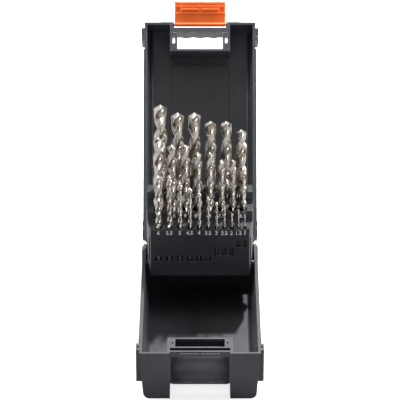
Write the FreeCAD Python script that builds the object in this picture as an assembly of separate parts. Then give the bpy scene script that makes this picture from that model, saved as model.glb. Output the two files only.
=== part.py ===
import FreeCAD, Part
import math
import os

# A book-type case for a set of twist drills, standing open. The front shell lies flat on its floor,
# the back shell leans back on its hinge, the stepped tray stands upright between them with the drills
# in its sockets, and the latch hangs open at the top of the back shell.
# Millimetres. +X is to the right, -Y is towards the handle end of the front shell, +Z is up.
# The origin is the centre of the face that the front shell rests on.

os.makedirs("parts", exist_ok=True)
V = FreeCAD.Vector

# Shells
case_length = 223.0
rim_half_width = 56.2
side_draft = 3.8
front_depth = 48.0
back_depth = 42.0
wall = 2.4
floor_edge_radius = 6.0
bead_reach = 0.9
bead_depth = 5.0
open_angle = 125.0
overrun = 5.0
tiny = 0.001

# Side ribs of the shells: the first pair counted from the hinge edge, the second from the far end
near_rib_reach = 1.6
far_rib_reach = 3.1
rib_depth = 33.0
near_rib_starts = [3.5, 14.5]
near_rib_ends = [11.0, 19.0]
far_rib_starts = [19.0, 11.2]
far_rib_ends = [14.0, 6.0]

# Raised panel in the back shell's floor
panel_half_width = 29.0
panel_start = 24.0
panel_from_end = 36.0
panel_step = 1.2
panel_corner_radius = 4.0

# Handle: a hole through each shell behind a grip at its end, with places counted from that end
handle_half_width = 28.0
handle_wall = 2.3
handle_hole_from_end = 27.6
handle_pad_width = 5.0
handle_pad_thickness = 3.0
handle_corner_radius = 3.5
front_grip_from_end = 12.8
front_grip_thickness = 9.6
front_grip_depth = 34.6
front_grip_skin = 2.2
back_grip_from_end = 10.6
back_grip_thickness = 5.2
back_grip_depth = 30.0
finger_depth = 1.2
finger_count = 4
pad_hole_radius = 1.3
pad_hole_from_end = 20.0
pad_slot_from_end = 21.6
pad_slot_length = 8.2
pad_slot_width = 2.6

# Hinge between the shells
hinge_offset = 2.6
knuckle_radius = 2.4
knuckle_arm_drop = 9.0
hinge_pin_radius = 1.2
pin_clearance = 0.05
knuckle_gap = 0.3
hinge_inner_x = 20.0
hinge_side_margin = 6.2
knuckle_width = 6.5
stop_start = 4.0
stop_end = 9.0
stop_foot = 14.0
stop_width = 4.0
stop_x = 8.0

# Latch on the back shell, with its hooks, and the catches on the front shell
latch_axis_depth = 11.5
latch_side_gap = 2.2
latch_length = 24.0
latch_barrel_radius = 2.1
latch_skin_inner = 0.4
latch_skin = 1.6
latch_rib_reach = 1.8
latch_rib = 1.2
latch_rib_places = [11.9, 19.2, 22.6]
latch_rib_inset = 5.8
hook_start = 15.0
hook_width = 2.0
hook_reach = 2.6
catch_start = 1.4
catch_width = 1.7
catch_reach = 1.8
catch_inner_x = 1.4
catch_inset = 9.4
latch_pin_radius = 1.0
latch_pin_grip = 8.0
latch_boss_width = 11.8
latch_boss_radius = 2.9
latch_boss_clearance = 0.4

# Stepped tray, with places measured forwards from the hinge edge and heights from the rim
tray_front = 58.0
tray_back = 3.4
tray_below_rim = 5.4
step_places = [58.0, 39.0, 19.0]
step_heights = [45.6, 55.6, 66.7]
tier_plate = 2.2
bar_back_places = [47.4, 24.4]
tray_web = 1.6

# Sides of the tray, bellied to follow the drafted shells: what is left to the rim's half-width
# at places in front of the hinge edge, and at heights over the rim
side_places = [3.4, 24.0, 33.0, 48.0, 58.0]
side_gaps = [5.1, 4.1, 4.1, 5.6, 8.0]
foot_heights = [24.0, 11.0, 2.0, -5.4]
foot_gaps = [4.1, 4.8, 6.0, 8.4]
side_slit_width = 0.9
side_slit_depth = 8.0
side_slit_low = 8.0
side_slit_high = 34.0
side_slit_gap = 6.4
pivot_place = 30.0
pivot_below_rim = 6.0
lug_half_width = 6.0
lug_height = 8.0
lug_thickness = 2.4
peg_radius = 2.5
peg_clearance = 0.08
peg_end_gap = 1.2

# Sockets
socket_clearance = 0.2
socket_sides = 10
notch_extra = 1.4
notch_depth = 2.3
window_base_width = 3.6
window_width_share = 0.6

# Drills of each row from the left: diameter, whole length, fluted length, which socket floor
back_row = [
    (13.0, 151.0, 101.0, "raised"),
    (12.5, 151.0, 101.0, "back"),
    (12.0, 151.0, 101.0, "back"),
    (11.5, 142.0, 94.0, "back"),
    (11.0, 142.0, 94.0, "back"),
    (10.5, 133.0, 87.0, "back"),
]
middle_row = [
    (10.0, 133.0, 87.0, "middle"),
    (9.5, 125.0, 81.0, "middle"),
    (9.0, 125.0, 81.0, "middle"),
    (8.5, 117.0, 75.0, "middle"),
    (8.0, 117.0, 75.0, "middle"),
    (7.5, 109.0, 69.0, "middle"),
    (7.0, 109.0, 69.0, "middle"),
    (6.5, 101.0, 63.0, "middle"),
]
front_row = [
    (6.0, 93.0, 57.0, "low"),
    (5.5, 93.0, 57.0, "low"),
    (5.0, 86.0, 52.0, "low"),
    (4.5, 80.0, 47.0, "low"),
    (4.0, 75.0, 43.0, "low"),
    (3.5, 70.0, 39.0, "low"),
    (3.0, 61.0, 33.0, "mid"),
    (2.5, 57.0, 30.0, "mid"),
    (2.0, 49.0, 24.0, "mid"),
    (1.5, 40.0, 18.0, "high"),
    (1.0, 34.0, 12.0, "high"),
]
row_places = [11.2, 31.4, 52.6]
row_gap_shares = [0.768, 0.808, 0.848]
row_shift_shares = [0.030, 0.022, 0.027]
floor_heights = {"back": -2.6, "raised": 5.8, "middle": -1.6, "low": 7.8, "mid": 11.0, "high": 24.0}
window_low_heights = {"low": 10.2, "mid": 16.1, "high": 25.4}
window_high_heights = {"low": 15.6, "mid": 24.4, "high": 33.0}

# Twist drill form
helix_angle = 29.0
point_angle = 118.0
steps_per_turn = 8
flute_outer_share = 0.985
flute_section_shares = [(1.0, -30.0), (1.0, 30.0), (0.36, 90.0)]
point_level_shares = [0.62, 0.36, 0.1]

# Worked-out places of the whole case
hinge_edge_y = case_length / 2
rim_z = front_depth
hinge_y = hinge_edge_y + hinge_offset
floor_half_width = rim_half_width - side_draft
hinge_outer_x = rim_half_width - hinge_side_margin
handle_hole_start = case_length - handle_hole_from_end
front_grip_start = case_length - front_grip_from_end
front_grip_end = front_grip_start + front_grip_thickness
back_grip_start = case_length - back_grip_from_end
back_grip_end = back_grip_start + back_grip_thickness
latch_axis_place = case_length
latch_half_width = handle_half_width - latch_side_gap
catch_outer_x = handle_half_width - catch_inset
tray_half_width = rim_half_width - side_gaps[-1]
tray_inner_half = rim_half_width - side_gaps[-2] - tier_plate


# Outlines and solids
def outline(points, radii):
    """Closed wire through the points, each corner rounded by its radius."""
    corners = []
    for i, here in enumerate(points):
        if not radii[i]:
            corners.append((here, None, here))
            continue
        before = (points[i - 1] - here).normalize()
        after = (points[(i + 1) % len(points)] - here).normalize()
        half = before.getAngle(after) / 2
        middle = (before + after).normalize()
        reach = radii[i] / math.tan(half)
        centre = here + middle * (radii[i] / math.sin(half))
        corners.append((here + before * reach, centre - middle * radii[i], here + after * reach))
    edges = []
    for i, (start, through, end) in enumerate(corners):
        if through:
            edges.append(Part.Arc(start, through, end).toShape())
        following = corners[(i + 1) % len(corners)][0]
        if end.distanceToPoint(following) > tiny:
            edges.append(Part.LineSegment(end, following).toShape())
    return Part.Wire(edges)


def prism(points, radii, along):
    """Solid made by moving a rounded outline along a vector."""
    return Part.Face(outline(points, radii)).extrude(along)


def block(x0, x1, y0, y1, z0, z1):
    """Box between six limits."""
    return Part.makeBox(x1 - x0, y1 - y0, z1 - z0, V(x0, y0, z0))


def rod(radius, x0, x1, y, z):
    """Round bar along X."""
    return Part.makeCylinder(radius, x1 - x0, V(x0, y, z), V(1, 0, 0))


def both_sides(shape):
    """A shape and its mirror image in the middle plane."""
    return [shape, shape.mirror(V(0, 0, 0), V(1, 0, 0))]


def joined(base, extras):
    """One solid from a base and what is moulded on to it."""
    return base.fuse(extras).removeSplitter()


# Shells, drawn with the rim at height 0, the floor below it and the hinge edge at Y = 0
def span(x0, x1, near, far, top, bottom):
    """Box in a shell: from near to far along it, and from top to bottom below the rim."""
    return block(x0, x1, -far, -near, -bottom, -top)


def trough(rim_half, floor_half, depth, radius, near, far, rise):
    """The shell's cross-section with its drafted sides, run from near to far."""
    points = [
        V(-rim_half, -near, rise),
        V(-rim_half, -near, 0),
        V(-floor_half, -near, -depth),
        V(floor_half, -near, -depth),
        V(rim_half, -near, 0),
        V(rim_half, -near, rise),
    ]
    radii = [0, 0, radius, radius, 0, 0]
    if not rise:
        points = points[1:5]
        radii = radii[1:5]
    return prism(points, radii, V(0, near - far, 0))


def shell_tub(depth):
    """Open tub with side beads and ribs, and the walls of the handle hole."""
    tub = trough(rim_half_width, floor_half_width, depth, floor_edge_radius, 0, case_length, 0)
    bead = span(
        rim_half_width - wall,
        rim_half_width + bead_reach,
        near_rib_ends[-1],
        handle_hole_start,
        0,
        bead_depth,
    )
    extras = both_sides(bead)
    for near, far in zip(near_rib_starts, near_rib_ends):
        reach = rim_half_width + near_rib_reach
        extras += both_sides(span(floor_half_width - wall, reach, near, far, 0, rib_depth))
    for near, far in zip(far_rib_starts, far_rib_ends):
        reach = rim_half_width + far_rib_reach
        rib = span(
            floor_half_width - wall, reach, case_length - near, case_length - far, 0, rib_depth
        )
        extras += both_sides(rib)
    tub = tub.fuse(extras)
    hollow = trough(
        rim_half_width - wall,
        floor_half_width - wall,
        depth - wall,
        floor_edge_radius - wall,
        wall,
        case_length - wall,
        overrun,
    )
    tub = tub.cut(hollow)
    outer = handle_half_width + handle_wall
    surround = span(-outer, outer, handle_hole_start - handle_wall, case_length, 0, depth)
    hole = span(
        -handle_half_width,
        handle_half_width,
        handle_hole_start,
        case_length + overrun,
        -overrun,
        depth + overrun,
    )
    return tub.fuse(surround).cut(hole)


def pads():
    """Plates at the rim that narrow the handle hole at both sides."""
    pad = span(
        handle_half_width - handle_pad_width,
        handle_half_width,
        handle_hole_start,
        back_grip_start,
        0,
        handle_pad_thickness,
    )
    return both_sides(pad)


def grip(start, end, depth):
    """Grip wall across the end of the handle hole, rounded at its lower corners."""
    points = [
        V(-handle_half_width, -start, 0),
        V(-handle_half_width, -start, -depth),
        V(handle_half_width, -start, -depth),
        V(handle_half_width, -start, 0),
    ]
    radii = [0, handle_corner_radius, handle_corner_radius, 0]
    return prism(points, radii, V(0, start - end, 0))


def front_knuckles():
    """Hinge knuckles below the rim plane, outside the pair's gap."""
    arms = []
    for x0, x1 in knuckle_spans(True):
        arms += both_sides(knuckle(x0, x1))
    return arms


def knuckle_spans(outer_pair):
    """Where the knuckles of one shell lie along the hinge."""
    inner_end = hinge_inner_x + knuckle_width
    outer_start = hinge_outer_x - knuckle_width
    if outer_pair:
        return [(hinge_inner_x, inner_end), (outer_start, hinge_outer_x)]
    return [(inner_end + knuckle_gap, outer_start - knuckle_gap)]


def knuckle(x0, x1):
    """Barrel round the hinge pin with the arm that carries it from the end wall."""
    arm = prism(
        [
            V(x0, 0, 0),
            V(x0, hinge_offset + knuckle_radius, 0),
            V(x0, 0, -knuckle_arm_drop),
            V(x0, -wall / 2, -knuckle_arm_drop),
            V(x0, -wall / 2, 0),
        ],
        [0, 0, 0, 0, 0],
        V(x1 - x0, 0, 0),
    )
    barrel = rod(knuckle_radius, x0, x1, hinge_offset, 0)
    return arm.fuse(barrel)


def hinge_bore():
    """The bore through all knuckles of both sides."""
    radius = hinge_pin_radius + pin_clearance
    bore = rod(radius, hinge_inner_x - overrun, hinge_outer_x + overrun, hinge_offset, 0)
    return both_sides(bore)


def stop_lugs():
    """Wedges behind the front shell whose sloping tops meet the back shell's end wall when open."""
    lean = math.radians(open_angle)
    start_y = hinge_offset - hinge_offset * math.cos(lean)
    start_z = hinge_offset * math.sin(lean)
    points = [V(stop_x, -wall / 2, -stop_start)]
    for depth in (stop_start, stop_end):
        y = start_y + depth * math.sin(lean)
        z = start_z + depth * math.cos(lean)
        points.append(V(stop_x, y, z))
    points.append(V(stop_x, -wall / 2, -stop_foot))
    lug = prism(points, [0, 0, 0, 0], V(stop_width, 0, 0))
    return both_sides(lug)


def make_front_shell():
    """Lower half of the case: tub, channel-shaped grip with two catches, hinge and tray pivots."""
    shell = shell_tub(front_depth)
    shell = joined(shell, [grip(front_grip_start, front_grip_end, front_grip_depth)] + pads())
    channel = span(
        -handle_half_width,
        handle_half_width,
        front_grip_start + front_grip_skin,
        front_grip_end - front_grip_skin,
        -overrun,
        front_grip_depth - front_grip_skin,
    )
    shell = shell.cut(channel)
    catches = span(
        catch_inner_x,
        catch_outer_x,
        front_grip_end - front_grip_skin / 2,
        front_grip_end + catch_reach,
        catch_start,
        catch_start + catch_width,
    )
    shell = joined(shell, both_sides(catches) + front_knuckles() + stop_lugs())
    drill = Part.makeCylinder(
        pad_hole_radius,
        handle_pad_thickness + overrun,
        V(
            handle_half_width - handle_pad_width / 2,
            pad_hole_from_end - case_length,
            -handle_pad_thickness - overrun / 2,
        ),
    )
    peg_hole = rod(
        peg_radius + peg_clearance,
        tray_half_width,
        rim_half_width + overrun,
        -pivot_place,
        -pivot_below_rim,
    )
    shell = shell.cut(both_sides(drill) + both_sides(peg_hole) + hinge_bore())
    return in_front(shell)


def finger_waves():
    """Shallow hollows along the inner side of the back grip."""
    pitch = 2 * handle_half_width / finger_count
    reach = pitch / 2
    radius = (reach * reach + finger_depth * finger_depth) / (2 * finger_depth)
    waves = []
    for i in range(finger_count):
        x = (i - (finger_count - 1) / 2) * pitch
        y = -back_grip_start - finger_depth + radius
        waves.append(
            Part.makeCylinder(
                radius, back_grip_depth + 2 * overrun, V(x, y, -back_grip_depth - overrun)
            )
        )
    return waves


def wavy_grip():
    """Grip of the back shell with its finger hollows."""
    return grip(back_grip_start, back_grip_end, back_grip_depth).cut(finger_waves())


def latch_bosses():
    """Raised ears that hold the ends of the latch pin."""
    x0 = latch_half_width + latch_boss_clearance
    x1 = handle_half_width + latch_boss_width
    depth_reach = latch_axis_depth + latch_boss_radius
    ear = rod(latch_boss_radius, x0, x1, -latch_axis_place, -latch_axis_depth)
    root = span(
        handle_half_width,
        x1,
        case_length - wall,
        latch_axis_place,
        latch_axis_depth - latch_boss_radius,
        depth_reach,
    )
    return both_sides(ear.fuse(root))


def make_back_shell():
    """Upper half of the case: tub with a raised floor panel, wavy grip, latch ears and hinge."""
    shell = shell_tub(back_depth)
    panel = prism(
        panel_corners(-back_depth + wall - tiny),
        [panel_corner_radius] * 4,
        V(0, 0, panel_step + tiny),
    )
    shell = joined(shell, [panel, wavy_grip()] + pads())
    recess = prism(
        panel_corners(-back_depth),
        [panel_corner_radius] * 4,
        V(0, 0, panel_step),
    )
    slot = span(
        handle_half_width - pad_slot_width,
        handle_half_width,
        case_length - pad_slot_from_end,
        case_length - pad_slot_from_end + pad_slot_length,
        -overrun,
        handle_pad_thickness + overrun,
    )
    back_knuckles = []
    for x0, x1 in knuckle_spans(False):
        back_knuckles += both_sides(knuckle(x0, x1))
    shell = shell.cut([recess] + both_sides(slot))
    shell = joined(shell, latch_bosses() + back_knuckles)
    pin_hole = rod(
        latch_pin_radius + pin_clearance,
        handle_half_width - handle_wall - overrun,
        handle_half_width + latch_pin_grip + pin_clearance,
        -latch_axis_place,
        -latch_axis_depth,
    )
    shell = shell.cut(both_sides(pin_hole) + hinge_bore())
    return on_back(shell)


def panel_corners(height):
    """Corners of the back shell's floor panel at one height."""
    return [
        V(-panel_half_width, -panel_start, height),
        V(panel_half_width, -panel_start, height),
        V(panel_half_width, panel_from_end - case_length, height),
        V(-panel_half_width, panel_from_end - case_length, height),
    ]


# Putting the shells in place
def in_front(shape):
    """Move a piece drawn in a shell's own place to the front shell's."""
    placed = shape.copy()
    placed.translate(V(0, hinge_edge_y, rim_z))
    return placed


def on_back(shape):
    """Turn a piece drawn in a shell's own place over and swing it open with the back shell."""
    placed = shape.copy()
    placed.rotate(V(0, 0, 0), V(0, 1, 0), 180)
    placed.translate(V(0, hinge_edge_y, rim_z))
    placed.rotate(V(0, hinge_y, rim_z), V(1, 0, 0), -open_angle)
    return placed


# Pins
def make_hinge_pins():
    """Two steel pins, one through each group of knuckles."""
    pin = rod(hinge_pin_radius, hinge_inner_x, hinge_outer_x, hinge_offset, 0)
    return in_front(Part.makeCompound(both_sides(pin)))


def make_latch_pin():
    """Steel pin through the latch's barrel, held in both ears."""
    half_length = handle_half_width + latch_pin_grip
    pin = rod(
        latch_pin_radius, -half_length, half_length, -latch_axis_place, -latch_axis_depth
    )
    return on_back(pin)


# Latch, drawn open: it stands out past the end of the back shell
def latch_piece(x0, x1, near, far, inner, outer):
    """Box in the latch: near to far from its axis, inner to outer across its thickness."""
    return span(
        x0,
        x1,
        latch_axis_place + near,
        latch_axis_place + far,
        latch_axis_depth + inner,
        latch_axis_depth + outer,
    )


def make_latch():
    """Moulded plate with a barrel, a frame of ribs on its inner face and two hooks."""
    outer = latch_skin_inner + latch_skin
    plate = latch_piece(
        -latch_half_width, latch_half_width, 0, latch_length, latch_skin_inner, outer
    )
    barrel = rod(
        latch_barrel_radius,
        -latch_half_width,
        latch_half_width,
        -latch_axis_place,
        -latch_axis_depth,
    )
    ribs = [barrel]
    for place in latch_rib_places:
        ribs.append(
            latch_piece(
                -latch_half_width,
                latch_half_width,
                place - latch_rib / 2,
                place + latch_rib / 2,
                -latch_rib_reach,
                outer,
            )
        )
    edge = latch_half_width - latch_rib
    inset = edge - latch_rib_inset
    for x0 in (-latch_half_width, -inset - latch_rib, -latch_rib / 2, inset, edge):
        ribs.append(
            latch_piece(
                x0, x0 + latch_rib, latch_rib_places[0], latch_length, -latch_rib_reach, outer
            )
        )
    hook = latch_piece(
        catch_inner_x,
        catch_outer_x,
        hook_start,
        hook_start + hook_width,
        -hook_reach,
        outer,
    )
    latch = joined(plate, ribs + both_sides(hook))
    bore = rod(
        latch_pin_radius + pin_clearance,
        -latch_half_width - overrun,
        latch_half_width + overrun,
        -latch_axis_place,
        -latch_axis_depth,
    )
    return on_back(latch.cut(bore))


# Tray
def at(place, height):
    """Y and Z of a point given by its place in front of the hinge edge and height over the rim."""
    return hinge_edge_y - place, rim_z + height


def tray_block(x0, x1, near, far, low, high):
    """Box in the tray: near to far in front of the hinge edge, low to high over the rim."""
    y1, z0 = at(near, low)
    y0, z1 = at(far, high)
    return block(x0, x1, y0, y1, z0, z1)


def stepped_side():
    """The tray's stepped side view, as wide as the rim."""
    steps = [
        (tray_back, -tray_below_rim),
        (tray_front, -tray_below_rim),
        (tray_front, step_heights[0]),
        (step_places[1], step_heights[0]),
        (step_places[1], step_heights[1]),
        (step_places[2], step_heights[1]),
        (step_places[2], step_heights[2]),
        (tray_back, step_heights[2]),
    ]
    points = []
    for place, height in steps:
        y, z = at(place, height)
        points.append(V(-rim_half_width, y, z))
    return prism(points, [0] * len(points), V(2 * rim_half_width, 0, 0))


def bellied_plan():
    """The tray's outline from above, with its sides drawn in towards the front and the back."""
    low = rim_z - tray_below_rim
    points = []
    for place, gap in zip(side_places, side_gaps):
        points.append(V(rim_half_width - gap, hinge_edge_y - place, low))
    points += [V(-p.x, p.y, p.z) for p in reversed(points)]
    return prism(points, [0] * len(points), V(0, 0, tray_below_rim + step_heights[2]))


def footed_front():
    """The tray's outline from the front, with its lower corners drawn in."""
    back = hinge_edge_y - tray_back
    points = [V(rim_half_width - foot_gaps[0], back, rim_z + step_heights[2])]
    for height, gap in zip(foot_heights, foot_gaps):
        points.append(V(rim_half_width - gap, back, rim_z + height))
    points += [V(-p.x, p.y, p.z) for p in reversed(points)]
    return prism(points, [0] * len(points), V(0, tray_back - tray_front, 0))


def row_xs(row, gap_share, shift_share):
    """Centres of a row of drills with equal gaps, which share the room that the drills leave."""
    room = 2 * tray_half_width - sum(drill[0] for drill in row)
    gap = room * gap_share / (len(row) - 1)
    xs = [0.0]
    for left, right in zip(row, row[1:]):
        xs.append(xs[-1] + (left[0] + right[0]) / 2 + gap)
    middle = (xs[0] + xs[-1]) / 2
    return [x - middle + room * shift_share for x in xs]


def drill_places():
    """Every drill with its place: row number, x, place, diameter, length, flutes, floor, tier top."""
    found = []
    for number, row in enumerate((back_row, middle_row, front_row)):
        xs = row_xs(row, row_gap_shares[number], row_shift_shares[number])
        top = step_heights[2 - number]
        for x, (diameter, length, flutes, floor) in zip(xs, row):
            found.append((number, x, row_places[number], diameter, length, flutes, floor, top))
    return found


def socket(radius, x, place, floor, top):
    """Socket with flat sides that just clear a drill of this radius."""
    y, z = at(place, floor)
    corner = radius / math.cos(math.pi / socket_sides)
    ring = []
    for i in range(socket_sides + 1):
        where = 2 * math.pi * i / socket_sides
        ring.append(V(x + corner * math.cos(where), y + corner * math.sin(where), z))
    return Part.Face(Part.makePolygon(ring)).extrude(V(0, 0, top - floor + overrun))


def socket_cuts():
    """Bores for the drills, the dips in the front edge of each step and the windows of the front row."""
    cuts = []
    for number, x, place, diameter, length, flutes, floor, top in drill_places():
        radius = diameter / 2 + socket_clearance
        cuts.append(socket(radius, x, place, floor_heights[floor], top))
        half = radius + notch_extra
        dip = (half * half + notch_depth * notch_depth) / (2 * notch_depth)
        front = step_places[2 - number]
        y, z = at(front, top - notch_depth + dip)
        cuts.append(
            Part.makeCylinder(dip, front - place + overrun, V(x, y - overrun, z), V(0, 1, 0))
        )
        if floor in window_low_heights:
            low = window_low_heights[floor]
            high = window_high_heights[floor]
            half = (window_base_width + window_width_share * diameter) / 2
            cuts.append(tray_block(x - half, x + half, place, front + overrun, low, high))
    return cuts


def make_tray():
    """Stepped drill holder with socket bars, bellied sides and the pivot pegs."""
    body = stepped_side().common(bellied_plan()).common(footed_front())
    hollows = []
    for number, bar_back in enumerate(bar_back_places):
        hollows.append(
            tray_block(
                -tray_inner_half,
                tray_inner_half,
                step_places[number + 1],
                bar_back,
                -tray_below_rim - overrun,
                step_heights[number] - tier_plate,
            )
        )
    slit_x = rim_half_width - side_slit_gap
    slit = tray_block(
        slit_x - side_slit_width,
        slit_x,
        tray_front - side_slit_depth,
        tray_front + overrun,
        side_slit_low,
        side_slit_high,
    )
    body = body.cut(hollows + both_sides(slit))
    webs = []
    for share in (-1, 0, 1):
        x = share * tray_inner_half / 2
        webs.append(
            tray_block(
                x - tray_web / 2,
                x + tray_web / 2,
                step_places[2] - tray_web,
                bar_back_places[0] + tray_web,
                -tray_below_rim,
                step_heights[0] - tier_plate / 2,
            )
        )
    lug_outer = rim_half_width - foot_gaps[1]
    lug = tray_block(
        lug_outer - lug_thickness,
        lug_outer,
        pivot_place - lug_half_width,
        pivot_place + lug_half_width,
        -pivot_below_rim - peg_radius,
        lug_height,
    )
    peg_y, peg_z = at(pivot_place, -pivot_below_rim)
    peg = rod(peg_radius, lug_outer - lug_thickness, rim_half_width - peg_end_gap, peg_y, peg_z)
    return joined(body, webs + both_sides(lug) + both_sides(peg)).cut(socket_cuts())


# Drills
def flute_ring(radius, limit, turn, height):
    """One level of the fluted part: two lands and two grooves, turned and held inside the point's cone."""
    ring = []
    for half_turn in (0.0, 180.0):
        for share, angle in flute_section_shares:
            reach = min(share * radius, limit)
            where = math.radians(angle + half_turn + turn)
            ring.append(V(reach * math.cos(where), reach * math.sin(where), height))
    return ring


def fluted_part(radius, start, end):
    """Helical grooves in flat facets from start up to the point."""
    lead = 2 * math.pi * radius / math.tan(math.radians(helix_angle))
    cone = math.tan(math.radians(point_angle / 2))
    blunt = point_level_shares[-1]
    shoulder = end - (1 - blunt) * radius / cone
    steps = max(2, round((shoulder - start) / lead * steps_per_turn))
    levels = [(start + (shoulder - start) * i / steps, 1) for i in range(steps + 1)]
    levels += [(end - (share - blunt) * radius / cone, share) for share in point_level_shares]
    rings = []
    for height, share in levels:
        turn = 360.0 * (height - start) / lead
        rings.append(flute_ring(radius, share * radius, turn, height))
    faces = [Part.Face(Part.makePolygon(ring + ring[:1])) for ring in (rings[0], rings[-1])]
    for low, high in zip(rings, rings[1:]):
        for i in range(len(low)):
            j = (i + 1) % len(low)
            for corner in ((low[i], low[j], high[j]), (low[i], high[j], high[i])):
                faces.append(Part.Face(Part.makePolygon(list(corner) + [corner[0]])))
    solid = Part.makeSolid(Part.makeShell(faces))
    if solid.Volume < 0:
        solid.reverse()
    return solid


def make_drill(diameter, length, flutes):
    """Twist drill standing on its shank, point up."""
    radius = diameter / 2
    shank = Part.makeCylinder(radius, length - flutes)
    fluted = fluted_part(radius * flute_outer_share, length - flutes, length)
    return shank.fuse(fluted)


def drill_name(diameter):
    """Node name from the drill's size."""
    return "drill_" + ("%g" % diameter).replace(".", "_")


make_front_shell().exportStep("parts/front_shell.step")
make_back_shell().exportStep("parts/back_shell.step")
make_hinge_pins().exportStep("parts/hinge_pins.step")
make_latch().exportStep("parts/latch.step")
make_latch_pin().exportStep("parts/latch_pin.step")
make_tray().exportStep("parts/drill_tray.step")
for number, x, place, diameter, length, flutes, floor, top in drill_places():
    drill = make_drill(diameter, length, flutes)
    y, z = at(place, floor_heights[floor])
    drill.translate(V(x, y, z))
    drill.exportStep("parts/" + drill_name(diameter) + ".step")
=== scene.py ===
import math

import bpy
import bmesh
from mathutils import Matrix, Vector


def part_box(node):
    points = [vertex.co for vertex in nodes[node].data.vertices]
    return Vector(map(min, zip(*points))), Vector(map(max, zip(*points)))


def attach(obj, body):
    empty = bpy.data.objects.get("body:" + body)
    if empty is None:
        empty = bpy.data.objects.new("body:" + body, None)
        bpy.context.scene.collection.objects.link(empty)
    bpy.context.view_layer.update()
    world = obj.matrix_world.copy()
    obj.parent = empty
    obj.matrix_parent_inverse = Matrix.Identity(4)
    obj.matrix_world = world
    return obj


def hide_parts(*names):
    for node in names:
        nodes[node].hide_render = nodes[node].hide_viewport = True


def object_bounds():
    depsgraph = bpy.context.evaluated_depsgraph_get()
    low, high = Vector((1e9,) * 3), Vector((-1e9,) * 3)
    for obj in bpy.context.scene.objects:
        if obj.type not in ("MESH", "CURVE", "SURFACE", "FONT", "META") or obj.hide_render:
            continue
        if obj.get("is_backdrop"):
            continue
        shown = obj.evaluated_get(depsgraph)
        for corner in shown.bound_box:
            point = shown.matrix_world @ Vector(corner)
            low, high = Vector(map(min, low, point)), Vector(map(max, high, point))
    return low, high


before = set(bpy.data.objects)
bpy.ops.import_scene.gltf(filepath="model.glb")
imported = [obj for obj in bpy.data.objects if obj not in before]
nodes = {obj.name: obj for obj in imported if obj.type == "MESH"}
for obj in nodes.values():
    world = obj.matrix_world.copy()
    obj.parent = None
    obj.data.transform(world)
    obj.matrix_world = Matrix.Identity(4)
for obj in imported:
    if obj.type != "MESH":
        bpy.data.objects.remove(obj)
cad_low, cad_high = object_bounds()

MM = 0.001
scene = bpy.context.scene

# Noises: features per metre, detail and roughness
SLOW_SHADE = (28.0, 4.0, 0.55)
GRAIN = (2600.0, 2.0, 0.55)
SCUFF = (240.0, 5.0, 0.7)
GRINDING = (900.0, 3.0, 0.6)
STEEL_TONE = (170.0, 3.0, 0.55)
# Parts of a noise's range that are stretched out to a whole one
SHADE_RANGE = (0.35, 0.65)
SCUFF_RANGE = (0.3, 0.7)
TONE_RANGE = (0.38, 0.62)

# Plastic: swing of its shade, least share of the lighter edge colour at an edge (partly wear, partly a
# painted highlight), turn that counts as an edge, swing of its roughness
DARK_SHARE = 0.82
LIGHT_SHARE = 1.16
LEAST_WEAR_AND_HIGHLIGHT = 0.35
EDGE_TURN = 0.22
EDGE_SAMPLES = 6
SMOOTHER = 0.05
ROUGHER = 0.07
PLASTIC_BUMP = 0.5

# Steel: swing of its roughness, bump and depth of its grinding marks, and how far they stretch a glint
STEEL_SMOOTHER = 0.06
STEEL_ROUGHER = 0.08
STEEL_BUMP = 0.25
MARK_DEPTH = 0.00003
ANISOTROPY = 0.35


# Materials: small helpers for node trees
def tree_of(name):
    """New material with an empty node tree, and its output."""
    material = bpy.data.materials.new(name)
    material.use_nodes = True
    tree = material.node_tree
    tree.nodes.clear()
    return material, tree, tree.nodes.new("ShaderNodeOutputMaterial")


def noise(tree, place, scale, detail, roughness):
    """Noise at a place; scale is in features per metre."""
    node = tree.nodes.new("ShaderNodeTexNoise")
    node.inputs["Scale"].default_value = scale
    node.inputs["Detail"].default_value = detail
    node.inputs["Roughness"].default_value = roughness
    tree.links.new(place, node.inputs["Vector"])
    return node.outputs["Fac"]


def spread(tree, value, low, high, out_low, out_high):
    """Map a value's range to another one, held at its ends."""
    node = tree.nodes.new("ShaderNodeMapRange")
    node.inputs["From Min"].default_value = low
    node.inputs["From Max"].default_value = high
    node.inputs["To Min"].default_value = out_low
    node.inputs["To Max"].default_value = out_high
    tree.links.new(value, node.inputs["Value"])
    return node.outputs["Result"]


def combined(tree, operation, a, b):
    """Arithmetic on two sockets, or on a socket and a number."""
    node = tree.nodes.new("ShaderNodeMath")
    node.operation = operation
    for i, value in enumerate((a, b)):
        if isinstance(value, float):
            node.inputs[i].default_value = value
        else:
            tree.links.new(value, node.inputs[i])
    return node.outputs["Value"]


def mixed(tree, share, a, b):
    """Mix two colours, each a tuple or a socket, by a socket."""
    node = tree.nodes.new("ShaderNodeMix")
    node.data_type = "RGBA"
    tree.links.new(share, node.inputs["Factor"])
    for name, colour in (("A", a), ("B", b)):
        socket = [s for s in node.inputs if s.name == name and s.type == "RGBA"][0]
        if isinstance(colour, tuple):
            socket.default_value = (*colour, 1.0)
        else:
            tree.links.new(colour, socket)
    return [s for s in node.outputs if s.type == "RGBA"][0]


def bumped(tree, height, strength, distance, normal=None):
    """Normal with a bump, on top of another normal where one is given."""
    bump = tree.nodes.new("ShaderNodeBump")
    bump.inputs["Strength"].default_value = strength
    bump.inputs["Distance"].default_value = distance
    tree.links.new(height, bump.inputs["Height"])
    if normal is not None:
        tree.links.new(normal, bump.inputs["Normal"])
    return bump.outputs["Normal"]


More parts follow.
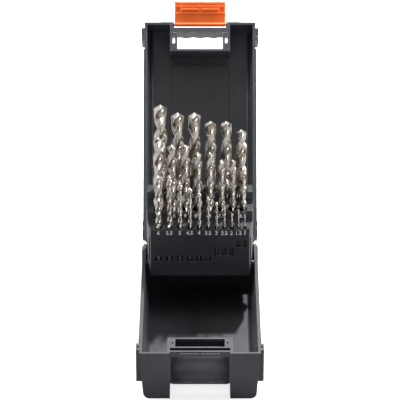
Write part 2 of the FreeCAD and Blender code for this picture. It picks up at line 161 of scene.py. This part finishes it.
def edge_mask(tree, radius, turn):
    """Normal rounded within a radius, and a mask of how far it turns: 0 on a flat, 1 at an edge."""
    bevel = tree.nodes.new("ShaderNodeBevel")
    bevel.samples = EDGE_SAMPLES
    bevel.inputs["Radius"].default_value = radius
    geometry = tree.nodes.new("ShaderNodeNewGeometry")
    dot = tree.nodes.new("ShaderNodeVectorMath")
    dot.operation = "DOT_PRODUCT"
    tree.links.new(bevel.outputs["Normal"], dot.inputs[0])
    tree.links.new(geometry.outputs["Normal"], dot.inputs[1])
    return bevel.outputs["Normal"], spread(tree, dot.outputs["Value"], 1.0, 1.0 - turn, 0.0, 1.0)


def plastic(name, colour, edge_wear_and_highlight, roughness, specular, grain=0.00006, edge=0.0006, through=0.0):
    """Moulded plastic: fine eroded grain, slow changes in shade, lighter edges that are partly rubbed wear
    and partly a painted highlight, light let through.
    """
    material, tree, out = tree_of(name)
    shader = tree.nodes.new("ShaderNodeBsdfPrincipled")
    shader.inputs["Specular IOR Level"].default_value = specular
    place = tree.nodes.new("ShaderNodeTexCoord").outputs["Object"]
    scuff = noise(tree, place, *SCUFF)
    round_normal, edges = edge_mask(tree, edge, EDGE_TURN)
    dark = tuple(c * DARK_SHARE for c in colour)
    light = tuple(c * LIGHT_SHARE for c in colour)
    shade = spread(tree, noise(tree, place, *SLOW_SHADE), *SHADE_RANGE, 0.0, 1.0)
    # Painted highlight: edges take the lighter colour, partly as wear and partly in place of the bright
    # lines that light draws along edges
    wear_and_painted_highlight = combined(tree, "MULTIPLY", edges, spread(tree, scuff, *SCUFF_RANGE, LEAST_WEAR_AND_HIGHLIGHT, 1.0))
    base = mixed(tree, wear_and_painted_highlight, mixed(tree, shade, dark, light), edge_wear_and_highlight)
    tree.links.new(base, shader.inputs["Base Color"])
    rough = spread(tree, scuff, *SCUFF_RANGE, roughness - SMOOTHER, roughness + ROUGHER)
    tree.links.new(rough, shader.inputs["Roughness"])
    normal = bumped(tree, noise(tree, place, *GRAIN), PLASTIC_BUMP, grain, round_normal)
    tree.links.new(normal, shader.inputs["Normal"])
    surface = shader.outputs["BSDF"]
    if through:
        lit_through = tree.nodes.new("ShaderNodeBsdfTranslucent")
        lit_through.inputs["Color"].default_value = (*edge_wear_and_highlight, 1.0)
        blend = tree.nodes.new("ShaderNodeMixShader")
        blend.inputs["Fac"].default_value = through
        tree.links.new(surface, blend.inputs[1])
        tree.links.new(lit_through.outputs["BSDF"], blend.inputs[2])
        surface = blend.outputs["Shader"]
    tree.links.new(surface, out.inputs["Surface"])
    return material


def steel(name, light, dark, roughness, streak):
    """Steel with fine grinding marks, stretched by streak, and slow changes in tone."""
    material, tree, out = tree_of(name)
    shader = tree.nodes.new("ShaderNodeBsdfPrincipled")
    shader.inputs["Metallic"].default_value = 1.0
    shader.inputs["Anisotropic"].default_value = ANISOTROPY
    place = tree.nodes.new("ShaderNodeTexCoord").outputs["Object"]
    stretched = tree.nodes.new("ShaderNodeMapping")
    stretched.inputs["Scale"].default_value = streak
    tree.links.new(place, stretched.inputs["Vector"])
    marks = noise(tree, stretched.outputs["Vector"], *GRINDING)
    tone = spread(tree, noise(tree, place, *STEEL_TONE), *TONE_RANGE, 0.0, 1.0)
    tree.links.new(mixed(tree, tone, dark, light), shader.inputs["Base Color"])
    rough = spread(tree, marks, *SCUFF_RANGE, roughness - STEEL_SMOOTHER, roughness + STEEL_ROUGHER)
    tree.links.new(rough, shader.inputs["Roughness"])
    tree.links.new(bumped(tree, marks, STEEL_BUMP, MARK_DEPTH), shader.inputs["Normal"])
    tree.links.new(shader.outputs["BSDF"], out.inputs["Surface"])
    return material


# Second colour of each plastic: the lighter edge colour, partly wear and partly a painted edge highlight
shell_look = plastic("shell_plastic", (0.042, 0.043, 0.050), (0.26, 0.27, 0.30), 0.42, 0.5)
tray_look = plastic("tray_plastic", (0.018, 0.0175, 0.0205), (0.22, 0.23, 0.25), 0.40, 0.5)
latch_look = plastic(
    "latch_plastic", (0.88, 0.19, 0.03), (1.0, 0.48, 0.17), 0.35, 0.5,
    grain=0.00002, edge=0.0004, through=0.35,
)
ink_look = plastic(
    "number_print", (0.80, 0.80, 0.82), (0.85, 0.85, 0.86), 0.5, 0.4,
    grain=0.00001, edge=0.0001,
)
land_look = steel("ground_steel", (0.62, 0.595, 0.555), (0.46, 0.43, 0.385), 0.20, (1.0, 1.0, 6.0))
flute_look = steel("flute_steel", (0.60, 0.55, 0.485), (0.36, 0.31, 0.255), 0.18, (1.0, 1.0, 3.0))
pin_look = steel("pin_steel", (0.62, 0.62, 0.63), (0.48, 0.48, 0.50), 0.28, (6.0, 1.0, 1.0))


def dress(node, material):
    """Give a node of the frame its finish in every slot."""
    mesh = nodes[node].data
    if not mesh.materials:
        mesh.materials.append(material)
    for i in range(len(mesh.materials)):
        mesh.materials[i] = material


for node, look in (
    ("front_shell", shell_look),
    ("back_shell", shell_look),
    ("drill_tray", tray_look),
    ("latch", latch_look),
    ("hinge_pins", pin_look),
    ("latch_pin", pin_look),
):
    dress(node, look)


def mesh_of(name, grown):
    """Turn a finished bmesh into a mesh and free it."""
    mesh = bpy.data.meshes.new(name)
    grown.to_mesh(mesh)
    grown.free()
    return mesh


def piece_from(name, mesh, body, materials, replaced=()):
    """Link a mesh as a piece that rides on a body."""
    piece = bpy.data.objects.new(name, mesh)
    scene.collection.objects.link(piece)
    for material in materials:
        mesh.materials.append(material)
    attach(piece, body)
    if replaced:
        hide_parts(*replaced)
    return piece


# Twist drills: flute lengths in mm by diameter
HELIX_ANGLE = math.radians(33.0)
HALF_POINT = math.radians(59.0)
FLUTE_LENGTHS = {
    13.0: 101, 12.5: 101, 12.0: 101, 11.5: 94, 11.0: 94, 10.5: 87, 10.0: 87, 9.5: 81, 9.0: 81,
    8.5: 75, 8.0: 75, 7.5: 69, 7.0: 69, 6.5: 63, 6.0: 57, 5.5: 57, 5.0: 52, 4.5: 47, 4.0: 43,
    3.5: 39, 3.0: 33, 2.5: 30, 2.0: 24, 1.5: 18, 1.0: 12,
}

# Half of a drill's cross-section: angle in degrees, share of the radius, and whether it is in the groove
HALF_SECTION = [
    (0.0, 1.0, 0), (5.0, 1.0, 0), (11.0, 1.0, 0), (12.5, 0.955, 0), (24.0, 0.95, 0), (37.0, 0.95, 0),
    (50.0, 0.95, 0), (63.0, 0.95, 0), (74.0, 0.94, 1), (79.0, 0.84, 1), (86.0, 0.70, 1),
    (95.0, 0.56, 1), (106.0, 0.44, 1), (119.0, 0.36, 1), (133.0, 0.33, 1), (146.0, 0.36, 1),
    (157.0, 0.45, 1), (166.0, 0.60, 1), (173.0, 0.78, 1), (178.0, 0.95, 1),
]
GROOVE_START = 74.0
# Points of a half that lie on a sharp line: the lip and both sides of the margin's step
SHARP_POINTS = (0, 2, 3)
# Fall of the lips behind their edges as a share of the radius, and how fast it ends inside the groove
LIP_RELIEF = 0.10
RELIEF_END = 2.5
# Run-out of the flutes and chamfer of the shank, in diameters
RUN_OUT = 0.9
CHAMFER_SHARE = 0.08
STEPS_PER_TURN = 26
FEWEST_STEPS = 8
# Rings along the shank, as shares of its length, and across the point, as shares of the radius
SHANK_PLACES = (0.02, 0.98)
POINT_PLACES = (0.72, 0.46, 0.22)
SHANK_RINGS = 2 + len(SHANK_PLACES)
# Turn of each drill in its socket, in degrees
TURN_FIRST = 40.0
TURN_PER_MM = 37.0


def twist_drill(diameter, flutes, low, high, centre, turned):
    """Drill on its shank with relieved lips, margins and run-out flutes; all in metres."""
    radius = diameter / 2
    lead = math.pi * diameter / math.tan(HELIX_ANGLE)
    start = high - flutes
    section = [
        (math.radians(a + half), share, groove)
        for half in (0.0, 180.0)
        for a, share, groove in HALF_SECTION
    ]
    count = len(section)
    half_count = len(HALF_SECTION)
    mesh = bmesh.new()
    rings = []

    def ring(heights, shares, turns):
        row = []
        for (angle, _, _), height, share, turn in zip(section, heights, shares, turns):
            where = angle + turn + turned
            row.append(mesh.verts.new((
                centre[0] + share * radius * math.cos(where),
                centre[1] + share * radius * math.sin(where),
                height,
            )))
        rings.append(row)

    # Shank, from its chamfer up
    chamfer = CHAMFER_SHARE * diameter
    still = [0.0] * count
    ring([low] * count, [1.0 - 2 * CHAMFER_SHARE] * count, still)
    ring([low + chamfer] * count, [1.0] * count, still)
    for share in SHANK_PLACES:
        ring([low + chamfer + (start - low - chamfer) * share] * count, [1.0] * count, still)

    # Height at which each point of the section meets the cone of the tip
    tips = []
    for angle, share, groove in section:
        behind = math.degrees(angle) % 180.0 / GROOVE_START
        kept = max(0.0, 1.0 - (behind - 1.0) * RELIEF_END) if groove else min(behind, 1.0)
        relief = LIP_RELIEF * radius * kept
        tips.append(high - (share * radius) / math.tan(HALF_POINT) - relief * share)

    # Flutes, from their run-out to the point
    steps = max(FEWEST_STEPS, round(flutes / lead * STEPS_PER_TURN))
    run_out = RUN_OUT * diameter
    for i in range(steps + 1):
        heights = [start + (tip - start) * i / steps for tip in tips]
        shares = []
        for (_, share, _), height in zip(section, heights):
            eased = min(max((height - start) / run_out, 0.0), 1.0)
            eased = eased * eased * (3 - 2 * eased)
            shares.append(1.0 + (share - 1.0) * eased)
        ring(heights, shares, [2 * math.pi * (height - start) / lead for height in heights])
    rim = len(rings) - 1

    # Point
    final_turns = [2 * math.pi * (tip - start) / lead for tip in tips]
    for inward in POINT_PLACES:
        heights = [high - (high - tip) * inward for tip in tips]
        ring(heights, [share * inward for _, share, _ in section], final_turns)

    for k, (below, above) in enumerate(zip(rings, rings[1:])):
        for i in range(count):
            j = (i + 1) % count
            face = mesh.faces.new((below[i], below[j], above[j], above[i]))
            face.smooth = k < rim
            in_groove = section[i][2] and (section[j][2] or not j % half_count)
            face.material_index = 1 if in_groove and SHANK_RINGS <= k < rim else 0
    mesh.faces.new(tuple(reversed(rings[0])))
    top = mesh.verts.new((centre[0], centre[1], high))
    for i in range(count):
        mesh.faces.new((rings[-1][i], rings[-1][(i + 1) % count], top))
    for k in range(SHANK_RINGS, rim + 1):
        for i in range(count):
            if i % half_count in SHARP_POINTS:
                edge = mesh.edges.get((rings[k - 1][i], rings[k][i]))
                if edge:
                    edge.smooth = False
    for i in range(count):
        mesh.edges.get((rings[rim][i], rings[rim][(i + 1) % count])).smooth = False
    mesh.normal_update()
    return mesh


drill_tops = {}
for name in sorted(nodes):
    if not name.startswith("drill_") or name == "drill_tray":
        continue
    size = float(name[len("drill_"):].replace("_", "."))
    low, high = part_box(name)
    middle = ((low[0] + high[0]) / 2, (low[1] + high[1]) / 2)
    turned = math.radians(TURN_FIRST + TURN_PER_MM * size)
    grown = twist_drill(size * MM, FLUTE_LENGTHS[size] * MM, low[2], high[2], middle, turned)
    mesh = mesh_of("twist_" + name, grown)
    piece_from("twist_" + name, mesh, name, (land_look, flute_look), (name,))
    drill_tops[size] = middle


# Size numbers on the faces of the tray's steps: distance of the face from the case's hinge edge,
# height of the numbers over the rim, and the sizes
RIM = 0.048
HINGE_EDGE = 0.1115
NUMBER_ROWS = (
    (0.058, 0.0407, [6, 5.5, 5, 4.5, 4, 3.5, 3, 2.5, 2, 1.5, 1]),
    (0.039, 0.0500, [10, 9.5, 9, 8.5, 8, 7.5, 7, 6.5]),
    (0.019, 0.0620, [13, 12.5, 12, 11.5, 11, 10.5]),
)
NUMBER_SIZE = 0.0055
PRINT_THICKNESS = 0.00012
# Widening of the figures' strokes, as a share of their size, and steps in their curves
STROKE_SHARE = 0.022
CURVE_STEPS = 3


def number_mesh(text, size):
    """Flat raised figures that lie in the XY plane, centred on the origin."""
    curve = bpy.data.curves.new("figures", "FONT")
    curve.body = text
    curve.size = size
    curve.align_x = "CENTER"
    curve.align_y = "CENTER"
    curve.extrude = PRINT_THICKNESS / 2
    curve.offset = size * STROKE_SHARE
    curve.resolution_u = CURVE_STEPS
    holder = bpy.data.objects.new("figures", curve)
    scene.collection.objects.link(holder)
    bpy.context.view_layer.update()
    mesh = bpy.data.meshes.new_from_object(holder.evaluated_get(bpy.context.evaluated_depsgraph_get()))
    bpy.data.objects.remove(holder)
    bpy.data.curves.remove(curve)
    return mesh


for place, height, sizes in NUMBER_ROWS:
    grown = bmesh.new()
    for size in sizes:
        figures = number_mesh("%g" % size, NUMBER_SIZE)
        x = drill_tops[size][0]
        before = len(grown.verts)
        grown.from_mesh(figures)
        grown.verts.ensure_lookup_table()
        for vert in grown.verts[before:]:
            flat = vert.co.copy()
            y = HINGE_EDGE - place - PRINT_THICKNESS / 2 - flat.z
            vert.co = Vector((x + flat.x, y, RIM + height + flat.y))
        bpy.data.meshes.remove(figures)
    mesh = mesh_of("size_numbers_%d" % len(sizes), grown)
    piece_from("size_numbers_%d" % len(sizes), mesh, "drill_tray", (ink_look,))


# Moulded finger hollow on the outer face of the front grip: distance of that face from the hinge edge,
# half of the hollow's width, and the line of its outer side as depth under the rim and thickness
GRIP_FACE = 0.2198
HOLLOW_HALF = 0.0266
HOLLOW_LINE = (
    (0.0058, 0.0), (0.0070, 0.0007), (0.0100, 0.0001), (0.0180, 0.0013),
    (0.0260, 0.0005), (0.0320, 0.0001), (0.0332, 0.0),
)
HOLLOW_STEPS = 6
# Overlap with the shell's face, which keeps the two from lying in one plane
SEAT = 0.00005


def smooth_line(points, steps):
    """Points along a line that eases in and out of each given point."""
    line = []
    for (a, low), (b, high) in zip(points, points[1:]):
        for i in range(steps):
            share = i / steps
            eased = share * share * (3 - 2 * share)
            line.append((a + (b - a) * share, low + (high - low) * eased))
    return line + [points[-1]]


def finger_hollow():
    """Closed slab on the grip's face with a wavy outer side."""
    grown = bmesh.new()
    y = HINGE_EDGE - GRIP_FACE
    sides = []
    for x in (-HOLLOW_HALF, HOLLOW_HALF):
        outer = []
        inner = []
        for depth, thickness in smooth_line(HOLLOW_LINE, HOLLOW_STEPS):
            outer.append(grown.verts.new((x, y - thickness - SEAT, RIM - depth)))
            inner.append(grown.verts.new((x, y + SEAT, RIM - depth)))
        sides.append((outer, inner))
    (left_out, left_in), (right_out, right_in) = sides
    for i in range(len(left_out) - 1):
        face = grown.faces.new((left_out[i], left_out[i + 1], right_out[i + 1], right_out[i]))
        face.smooth = True
        grown.faces.new((left_in[i + 1], left_in[i], right_in[i], right_in[i + 1]))
        grown.faces.new((left_out[i + 1], left_out[i], left_in[i], left_in[i + 1]))
        grown.faces.new((right_out[i], right_out[i + 1], right_in[i + 1], right_in[i]))
    grown.faces.new((left_out[0], right_out[0], right_in[0], left_in[0]))
    grown.faces.new((right_out[-1], left_out[-1], left_in[-1], right_in[-1]))
    grown.normal_update()
    return mesh_of("finger_hollow", grown)


piece_from("finger_hollow", finger_hollow(), "front_shell", (shell_look,))

# Floor: half its width, cells along a side, gap under the case, glow towards the camera, and the
# paper's shade as the camera and as other rays see it
FLOOR_HALF = 9.0
FLOOR_CELLS = 4
FLOOR_GAP = 0.0002
FLOOR_GLOW = 0.75
PAPER_SEEN = 0.86
PAPER_MIRRORED = 0.40


def floor_look():
    """Pale paper that goes to white in the picture and keeps the shadow."""
    material, tree, out = tree_of("pale_floor")
    to_camera = tree.nodes.new("ShaderNodeLightPath").outputs["Is Camera Ray"]
    paper = tree.nodes.new("ShaderNodeBsdfDiffuse")
    tree.links.new(spread(tree, to_camera, 0.0, 1.0, PAPER_MIRRORED, PAPER_SEEN), paper.inputs["Color"])
    glow = tree.nodes.new("ShaderNodeEmission")
    tree.links.new(spread(tree, to_camera, 0.0, 1.0, 0.0, FLOOR_GLOW), glow.inputs["Strength"])
    both = tree.nodes.new("ShaderNodeAddShader")
    tree.links.new(paper.outputs["BSDF"], both.inputs[0])
    tree.links.new(glow.outputs["Emission"], both.inputs[1])
    tree.links.new(both.outputs["Shader"], out.inputs["Surface"])
    return material


grown = bmesh.new()
bmesh.ops.create_grid(grown, x_segments=FLOOR_CELLS, y_segments=FLOOR_CELLS, size=FLOOR_HALF)
mesh = mesh_of("floor", grown)
mesh.materials.append(floor_look())
floor = bpy.data.objects.new("floor", mesh)
scene.collection.objects.link(floor)
floor.location = (0.0, 0.0, -FLOOR_GAP)
floor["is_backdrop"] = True

# Surroundings: what mirrors show in front and at the sides or above, light on dull surfaces, and the
# parts of a direction over which a mirror's view goes from the one to the other
MIRROR_LOW = 0.28
MIRROR_HIGH = 1.15
SKY_LIGHT = 0.16
WALL_RANGE = (0.35, 0.75)
CEILING_RANGE = (0.45, 0.85)


def surroundings():
    """White world: whole towards the camera, shaped in mirrors and faint on dull surfaces."""
    world = bpy.data.worlds.new("studio")
    scene.world = world
    world.use_nodes = True
    tree = world.node_tree
    tree.nodes.clear()
    sky = tree.nodes.new("ShaderNodeBackground")
    out = tree.nodes.new("ShaderNodeOutputWorld")
    path = tree.nodes.new("ShaderNodeLightPath")
    sky.inputs["Color"].default_value = (1.0, 1.0, 1.0, 1.0)
    split = tree.nodes.new("ShaderNodeSeparateXYZ")
    tree.links.new(tree.nodes.new("ShaderNodeTexCoord").outputs["Generated"], split.inputs["Vector"])
    to_side = combined(tree, "ABSOLUTE", split.outputs["X"], 0.0)
    walls = spread(tree, to_side, *WALL_RANGE, MIRROR_LOW, MIRROR_HIGH)
    ceiling = spread(tree, split.outputs["Z"], *CEILING_RANGE, MIRROR_LOW, MIRROR_HIGH)
    mirrored = combined(tree, "MAXIMUM", walls, ceiling)
    plain = combined(tree, "MAXIMUM", path.outputs["Is Camera Ray"], path.outputs["Is Transmission Ray"])
    shown = combined(tree, "MULTIPLY", path.outputs["Is Glossy Ray"], mirrored)
    seen = combined(tree, "MAXIMUM", plain, shown)
    tree.links.new(combined(tree, "MAXIMUM", seen, SKY_LIGHT), sky.inputs["Strength"])
    tree.links.new(sky.outputs["Background"], out.inputs["Surface"])


surroundings()

WHITE = (1.0, 1.0, 1.0)
COOL = (0.97, 0.98, 1.0)
BLUISH = (0.80, 0.88, 1.0)
# Lamps: place, the point that each faces, width, height, power in watts and colour
SOFTBOXES = (
    ("key", (0.24, 0.702, 1.36), (0.0, 0.0, 0.0), 0.07, 0.07, 40.0, WHITE),
    ("overhead", (0.0, 0.25, 1.5), (0.0, 0.05, 0.05), 0.7, 0.4, 3.2, WHITE),
    ("left_side", (-1.2, 0.12, 0.45), (0.0, 0.08, 0.1), 0.4, 0.9, 16.0, COOL),
    ("right_side", (1.2, 0.12, 0.45), (0.0, 0.08, 0.1), 0.4, 0.9, 14.0, COOL),
    ("front_fill", (0.0, -1.5, 0.22), (0.0, -0.1, 0.05), 0.6, 0.2, 5.0, BLUISH),
)


def softbox(name, place, target, width, height, power, colour):
    """Rectangular lamp that faces a point."""
    lamp = bpy.data.lights.new(name, "AREA")
    lamp.shape = "RECTANGLE"
    lamp.size = width
    lamp.size_y = height
    lamp.energy = power
    lamp.color = colour
    holder = bpy.data.objects.new(name, lamp)
    scene.collection.objects.link(holder)
    holder.location = place
    aim = Vector(target) - Vector(place)
    holder.rotation_euler = aim.to_track_quat("-Z", "Y").to_euler()


for settings in SOFTBOXES:
    softbox(*settings)

# Camera: angle below level, lens and sensor in mm, and its place
PITCH = math.radians(26.0)
LENS = 228.6
SENSOR = 36.0
CAMERA_PLACE = (0.0, -2.1524, 1.2006)

camera_data = bpy.data.cameras.new("camera")
camera_data.sensor_width = SENSOR
camera_data.lens = LENS
camera = bpy.data.objects.new("camera", camera_data)
scene.collection.objects.link(camera)
camera.location = CAMERA_PLACE
camera.rotation_euler = (math.pi / 2 - PITCH, 0.0, 0.0)
scene.camera = camera
scene.view_settings.view_transform = "Standard"

low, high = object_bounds()
sizes = {"cad": [list(cad_low), list(cad_high)], "visual": [list(low), list(high)]}
